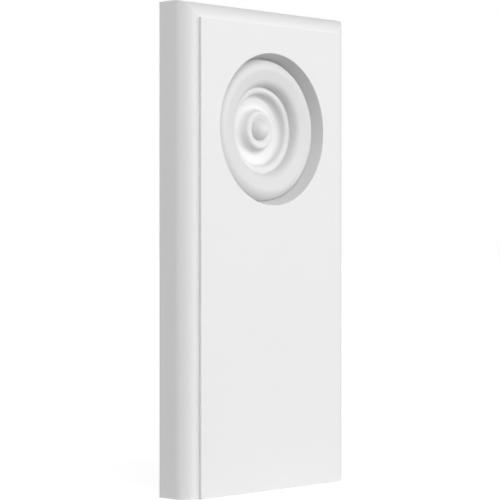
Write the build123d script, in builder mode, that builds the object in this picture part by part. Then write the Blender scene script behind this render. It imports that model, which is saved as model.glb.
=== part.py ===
import os

from build123d import *

# Frame: the origin is the middle of the foot of the block, halfway along its width and its
# thickness. +Z runs up the block, the show face looks along -Y and the flat back, which goes
# against the wall, looks along +Y. Millimetres throughout.

# Whole block
width = 150.0
height = 304.8
thickness = 26.0

# Border: a quarter round up both sides and along the top, a narrow flat, then a step up to
# the panel. It runs straight out at the foot, which stands on the floor.
round_radius = 10.1
border_flat = 0.2
step_height = 2.0
panel_edge_radius = 0.3

# Rosette: turned into the panel, its middle this far below the top
rosette_drop = 76.1
rim_edge_radius = 0.3

# Rosette section, from the button out to the rim. Each member has two sharp corners, and a
# round takes the sharpness off. Widths run outwards from the corner before, a depth is behind
# the panel's face, and a fall or a rise is counted from the member's own depth.
button_radius = 6.5
button_flattening = 0.1  # how much lower than half a ball the button stands

collar_flank_width = 0.8
collar_width = 4.6
collar_depth = 10.1
collar_fall = 1.7
collar_inner_round = 1.0
collar_outer_round = 2.2
groove_fall = 1.0  # from the collar's inner corner to the groove round the button

cove_flank_width = 2.3
cove_width = 8.3
cove_fall = 1.3
cove_inner_round = 2.9
cove_outer_round = 2.8

riser_width = 0.7
riser_height = 6.0
bead_width = 4.4
bead_depth = 10.1
bead_fall = 0.8
bead_round = 2.5

swell_inner_flank_width = 0.4
swell_width = 15.3
swell_depth = 3.1
swell_fall = 2.6
swell_inner_round = 5.1
swell_outer_round = 6.3
swell_outer_flank_width = 2.0
swell_outer_flank_height = 8.6

wall_slant = 2.9

# Heights and places worked out from the sizes above
front = -thickness / 2
border_front = front + step_height
border_width = round_radius + border_flat
rosette_height = height - rosette_drop
panel_width = width - 2 * border_width
panel_height = height - border_width
cutter_top = -2.0

collar_inner_radius = button_radius + collar_flank_width
collar_outer_radius = collar_inner_radius + collar_width
cove_inner_radius = collar_outer_radius + cove_flank_width
cove_outer_radius = cove_inner_radius + cove_width
bead_radius = cove_outer_radius + riser_width
valley_radius = bead_radius + bead_width
swell_inner_radius = valley_radius + swell_inner_flank_width
swell_outer_radius = swell_inner_radius + swell_width
wall_foot_radius = swell_outer_radius + swell_outer_flank_width
rim_radius = wall_foot_radius + wall_slant

collar_inner_depth = collar_depth + collar_fall
groove_depth = collar_inner_depth + groove_fall
button_depth = groove_depth - (button_radius - button_flattening)
cove_outer_depth = bead_depth + riser_height
cove_inner_depth = cove_outer_depth + cove_fall
valley_depth = bead_depth + bead_fall
swell_inner_depth = swell_depth + swell_fall
wall_foot_depth = swell_depth + swell_outer_flank_height

# The rosette's section is drawn with its radius along X and its depth along Y
section_plane = Plane(origin=(0, front, rosette_height), x_dir=(1, 0, 0), z_dir=(0, 0, 1))
rosette_axis = Axis((0, front, rosette_height), (0, 1, 0))

with BuildPart() as plinth_block:
    # Backing slab, its front face where the panel's step begins
    with BuildSketch(Plane.XY) as footprint:
        with Locations((0, (border_front + thickness / 2) / 2)):
            Rectangle(width, thickness / 2 - border_front)
    extrude(amount=height)

    # Quarter round up both sides and over the top, mitred at the two upper corners
    front_edges = plinth_block.faces().sort_by(Axis.Y)[0].edges()
    fillet(front_edges.sort_by(Axis.Z)[1:], radius=round_radius)

    # Raised panel, down to the foot
    with BuildSketch(Plane.XZ.offset(-border_front)) as panel:
        with Locations((0, panel_height / 2)):
            Rectangle(panel_width, panel_height)
    extrude(amount=step_height)
    panel_edges = plinth_block.faces().sort_by(Axis.Y)[0].edges()
    fillet(panel_edges.sort_by(Axis.Z)[1:], radius=panel_edge_radius)

    # Rosette, turned out of the panel
    with BuildSketch(section_plane) as rosette:
        with BuildLine() as section:
            Polyline(
                (0, button_depth),
                (0, cutter_top),
                (rim_radius, cutter_top),
                (rim_radius, 0),
                (wall_foot_radius, wall_foot_depth),
            )
            FilletPolyline(
                (wall_foot_radius, wall_foot_depth),
                (swell_outer_radius, swell_depth),
                (swell_inner_radius, swell_inner_depth),
                (valley_radius, valley_depth),
                radius=[swell_outer_round, swell_inner_round],
            )
            FilletPolyline(
                (valley_radius, valley_depth),
                (bead_radius, bead_depth),
                (cove_outer_radius, cove_outer_depth),
                (cove_inner_radius, cove_inner_depth),
                (collar_outer_radius, collar_depth),
                (collar_inner_radius, collar_inner_depth),
                (button_radius, groove_depth),
                radius=[
                    bead_round,
                    cove_outer_round,
                    cove_inner_round,
                    collar_outer_round,
                    collar_inner_round,
                ],
            )
            TangentArc((0, button_depth), (button_radius, groove_depth), tangent=(1, 0))
        make_face()
    revolve(axis=rosette_axis, mode=Mode.SUBTRACT)
    rim = plinth_block.faces().sort_by(Axis.Y)[0].edges().filter_by(GeomType.CIRCLE)
    fillet(rim, radius=rim_edge_radius)

plinth_block.part.label = "plinth_block"

os.makedirs("parts", exist_ok=True)
export_step(plinth_block.part, "parts/plinth_block.step")
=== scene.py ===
import bmesh
import bpy
import math
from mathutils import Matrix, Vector

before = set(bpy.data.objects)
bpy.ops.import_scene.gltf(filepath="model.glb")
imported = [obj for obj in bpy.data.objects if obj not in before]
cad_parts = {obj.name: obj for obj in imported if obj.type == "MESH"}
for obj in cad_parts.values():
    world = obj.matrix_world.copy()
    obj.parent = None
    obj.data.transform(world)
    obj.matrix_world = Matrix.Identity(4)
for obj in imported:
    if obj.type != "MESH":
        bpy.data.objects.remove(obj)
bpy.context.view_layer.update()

scene = bpy.context.scene


# One node socket, so that shader sums read as plain Python
class Wire:
    def __init__(self, mat, socket):
        self.mat = mat
        self.socket = socket

    def combine(self, operation, first, second):
        return self.mat.node("ShaderNodeMath", {"operation": operation}, {0: first, 1: second})

    def __add__(self, other):
        return self.combine("ADD", self, other)

    def __radd__(self, other):
        return self.combine("ADD", other, self)

    def __sub__(self, other):
        return self.combine("SUBTRACT", self, other)

    def __rsub__(self, other):
        return self.combine("SUBTRACT", other, self)

    def __mul__(self, other):
        return self.combine("MULTIPLY", self, other)

    def __rmul__(self, other):
        return self.combine("MULTIPLY", other, self)


# A material or a world: anything with a node tree
class Mat:
    def __init__(self, owner):
        owner.use_nodes = True
        self.tree = owner.node_tree
        self.tree.nodes.clear()

    def node(self, kind, settings=None, values=None, out=0):
        new = self.tree.nodes.new(kind)
        for key, value in (settings or {}).items():
            setattr(new, key, value)
        for key, value in (values or {}).items():
            if isinstance(value, Wire):
                self.tree.links.new(value.socket, new.inputs[key])
            else:
                new.inputs[key].default_value = value
        return Wire(self, new.outputs[out]) if new.outputs else None


print("moulded white: material")

block = {
    "colour": 0.80,             # primed white, the same in all three channels
    "toneDrift": 0.016,         # how far the white drifts over the block
    "driftScale": 14.0,
    "driftDetail": 3.0,
    "cloudScale": 70.0,         # smaller clouds of tone and sheen
    "cloudDetail": 4.0,
    "roughness": 0.50,
    "roughDrift": 0.08,
    "ior": 1.46,
    "skinScale": 900.0,         # bumps per metre in the moulded skin
    "skinDetail": 2.0,
    "skinDepth": 0.00002,
    "rosetteHeight": 0.2287,    # the rosette's middle above the foot
    "rim": 0.0482,              # radius of the sunk rosette
    "sunkPaintedShade": 0.96,           # painted shade: the sunk rosette is made a shade greyer than the panel, standing in for shade in the recess
    "swell": (0.0278, 0.0449),  # inner and outer radius of the rosette's broad ring
    "swellPaintedShade": 0.93,          # painted shade: the broad ring is made greyer again, standing in for the shade on it
    "toneEdge": 0.0009,         # half the width of the soft edge between two tones
}

blockMat = bpy.data.materials.new("mouldedWhite")
mat = Mat(blockMat)
place = mat.node("ShaderNodeTexCoord", out="Object")


def noise(name):
    scale, detail = block[name + "Scale"], block[name + "Detail"]
    return mat.node("ShaderNodeTexNoise", {}, {"Vector": place, "Scale": scale, "Detail": detail})


drift, cloud, skin = noise("drift"), noise("cloud"), noise("skin")

# How far a point lies from the rosette's axis, seen from the front
flat = mat.node("ShaderNodeVectorMath", {"operation": "MULTIPLY"}, {0: place, 1: (1, 0, 1)})
axis = (0, 0, block["rosetteHeight"])
radius = mat.node("ShaderNodeVectorMath", {"operation": "DISTANCE"}, {0: flat, 1: axis}, "Value")


# 0 inside the given radius and 1 outside it, over a short soft edge
def outside(edge):
    half = block["toneEdge"]
    return mat.node(
        "ShaderNodeMapRange",
        {"interpolation_type": "SMOOTHSTEP"},
        {"Value": radius, "From Min": edge - half, "From Max": edge + half},
    )


# The two painted shades of the recess, on the show face only
inner, outer = block["swell"]
depth = mat.node("ShaderNodeSeparateXYZ", {}, {0: place}, "Y")
showFace = mat.node("ShaderNodeMath", {"operation": "LESS_THAN"}, {0: depth, 1: 0.0})
sunk = (1.0 - outside(block["rim"])) * showFace
swell = (outside(inner) - outside(outer)) * showFace
shade = (1.0 - sunk * (1.0 - block["sunkPaintedShade"])) * (1.0 - swell * (1.0 - block["swellPaintedShade"]))

slowTone = (drift - 0.5) * block["toneDrift"]
fineTone = (cloud - 0.5) * (block["toneDrift"] / 2)
# The paint's random tone, darkened by the painted shade in the rosette
tone = (slowTone + fineTone + block["colour"]) * shade
paint = mat.node("ShaderNodeCombineColor", {}, {"Red": tone, "Green": tone, "Blue": tone})
rough = (cloud - 0.5) * block["roughDrift"] + block["roughness"]
skinBump = mat.node("ShaderNodeBump", {}, {"Strength": 1.0, "Distance": block["skinDepth"], "Height": skin})
shader = mat.node(
    "ShaderNodeBsdfPrincipled",
    {},
    {"Base Color": paint, "Roughness": rough, "Normal": skinBump, "IOR": block["ior"]},
)
mat.node("ShaderNodeOutputMaterial", {}, {"Surface": shader})
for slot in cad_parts["plinth_block"].material_slots:
    slot.material = blockMat


print("floor and backdrop")

studio = {
    "floorSize": 40.0,
    "floorColour": 0.50,
    "floorFill": 0.80,    # white that lights nothing, so that the floor reads as white
    "backdrop": 1.0,
}


# Rays from the camera, a mirror or a glass: they meet the white, and it lights nothing else
def seenDirectly(mat):
    kinds = ("Is Camera Ray", "Is Glossy Ray", "Is Transmission Ray")
    camera, mirror, glass = [mat.node("ShaderNodeLightPath", out=kind) for kind in kinds]
    return camera + mirror + glass


floorMesh = bpy.data.meshes.new("floor")
shape = bmesh.new()
bmesh.ops.create_grid(shape, x_segments=1, y_segments=1, size=studio["floorSize"] / 2)
shape.to_mesh(floorMesh)
shape.free()
floor = bpy.data.objects.new("floor", floorMesh)
scene.collection.objects.link(floor)
floorMat = bpy.data.materials.new("paleFloor")
mat = Mat(floorMat)
matte = mat.node("ShaderNodeBsdfDiffuse", {}, {"Color": (studio["floorColour"],) * 3 + (1,)})
glow = mat.node("ShaderNodeEmission", {}, {"Strength": seenDirectly(mat) * studio["floorFill"]})
both = mat.node("ShaderNodeAddShader", {}, {0: matte, 1: glow})
mat.node("ShaderNodeOutputMaterial", {}, {"Surface": both})
floorMesh.materials.append(floorMat)

world = bpy.data.worlds.new("studio")
scene.world = world
mat = Mat(world)
level = seenDirectly(mat) * studio["backdrop"]
backdrop = mat.node("ShaderNodeBackground", {}, {"Color": (1, 1, 1, 1), "Strength": level})
mat.node("ShaderNodeOutputWorld", {}, {"Surface": backdrop})


print("lamps")

# Where each lamp shines from: turn from the front, positive to the block's right, and height
lamps = {
    "front": {"turn": 0, "height": 16, "spread": 30, "power": 1.34},
    "high": {"turn": -40, "height": 30, "spread": 30, "power": 0.88},
    "left": {"turn": -110, "height": 6, "spread": 50, "power": 1.56},
    "right": {"turn": 40, "height": 8, "spread": 30, "power": 1.27},
    "back": {"turn": 165, "height": 20, "spread": 50, "power": 0.90},
}
for name, lamp in lamps.items():
    light = bpy.data.lights.new(name, "SUN")
    light.energy = lamp["power"]
    light.angle = math.radians(lamp["spread"])
    holder = bpy.data.objects.new(name, light)
    turn, height = math.radians(lamp["turn"]), math.radians(lamp["height"])
    across, out = math.sin(turn) * math.cos(height), math.cos(turn) * math.cos(height)
    source = Vector((across, -out, math.sin(height)))
    holder.rotation_euler = source.to_track_quat("Z", "Y").to_euler()
    scene.collection.objects.link(holder)


print("camera")

view = {
    "turn": -46.669,        # seen from the block's left
    "place": (-0.91502, -0.85601, 0.15228),
    "pixels": 1963.3,       # focal length in pixels
    "picture": 500,         # width of the picture in pixels
    "film": 36,             # width of the film in millimetres
    "far": 100,
}
lens = bpy.data.cameras.new("view")
lens.sensor_width = view["film"]
lens.lens = view["pixels"] / view["picture"] * view["film"]
lens.clip_end = view["far"]
eye = bpy.data.objects.new("view", lens)
eye.location = view["place"]
eye.rotation_euler = (math.radians(90), 0, math.radians(view["turn"]))
scene.collection.objects.link(eye)
scene.camera = eye

scene.view_settings.view_transform = "Standard"
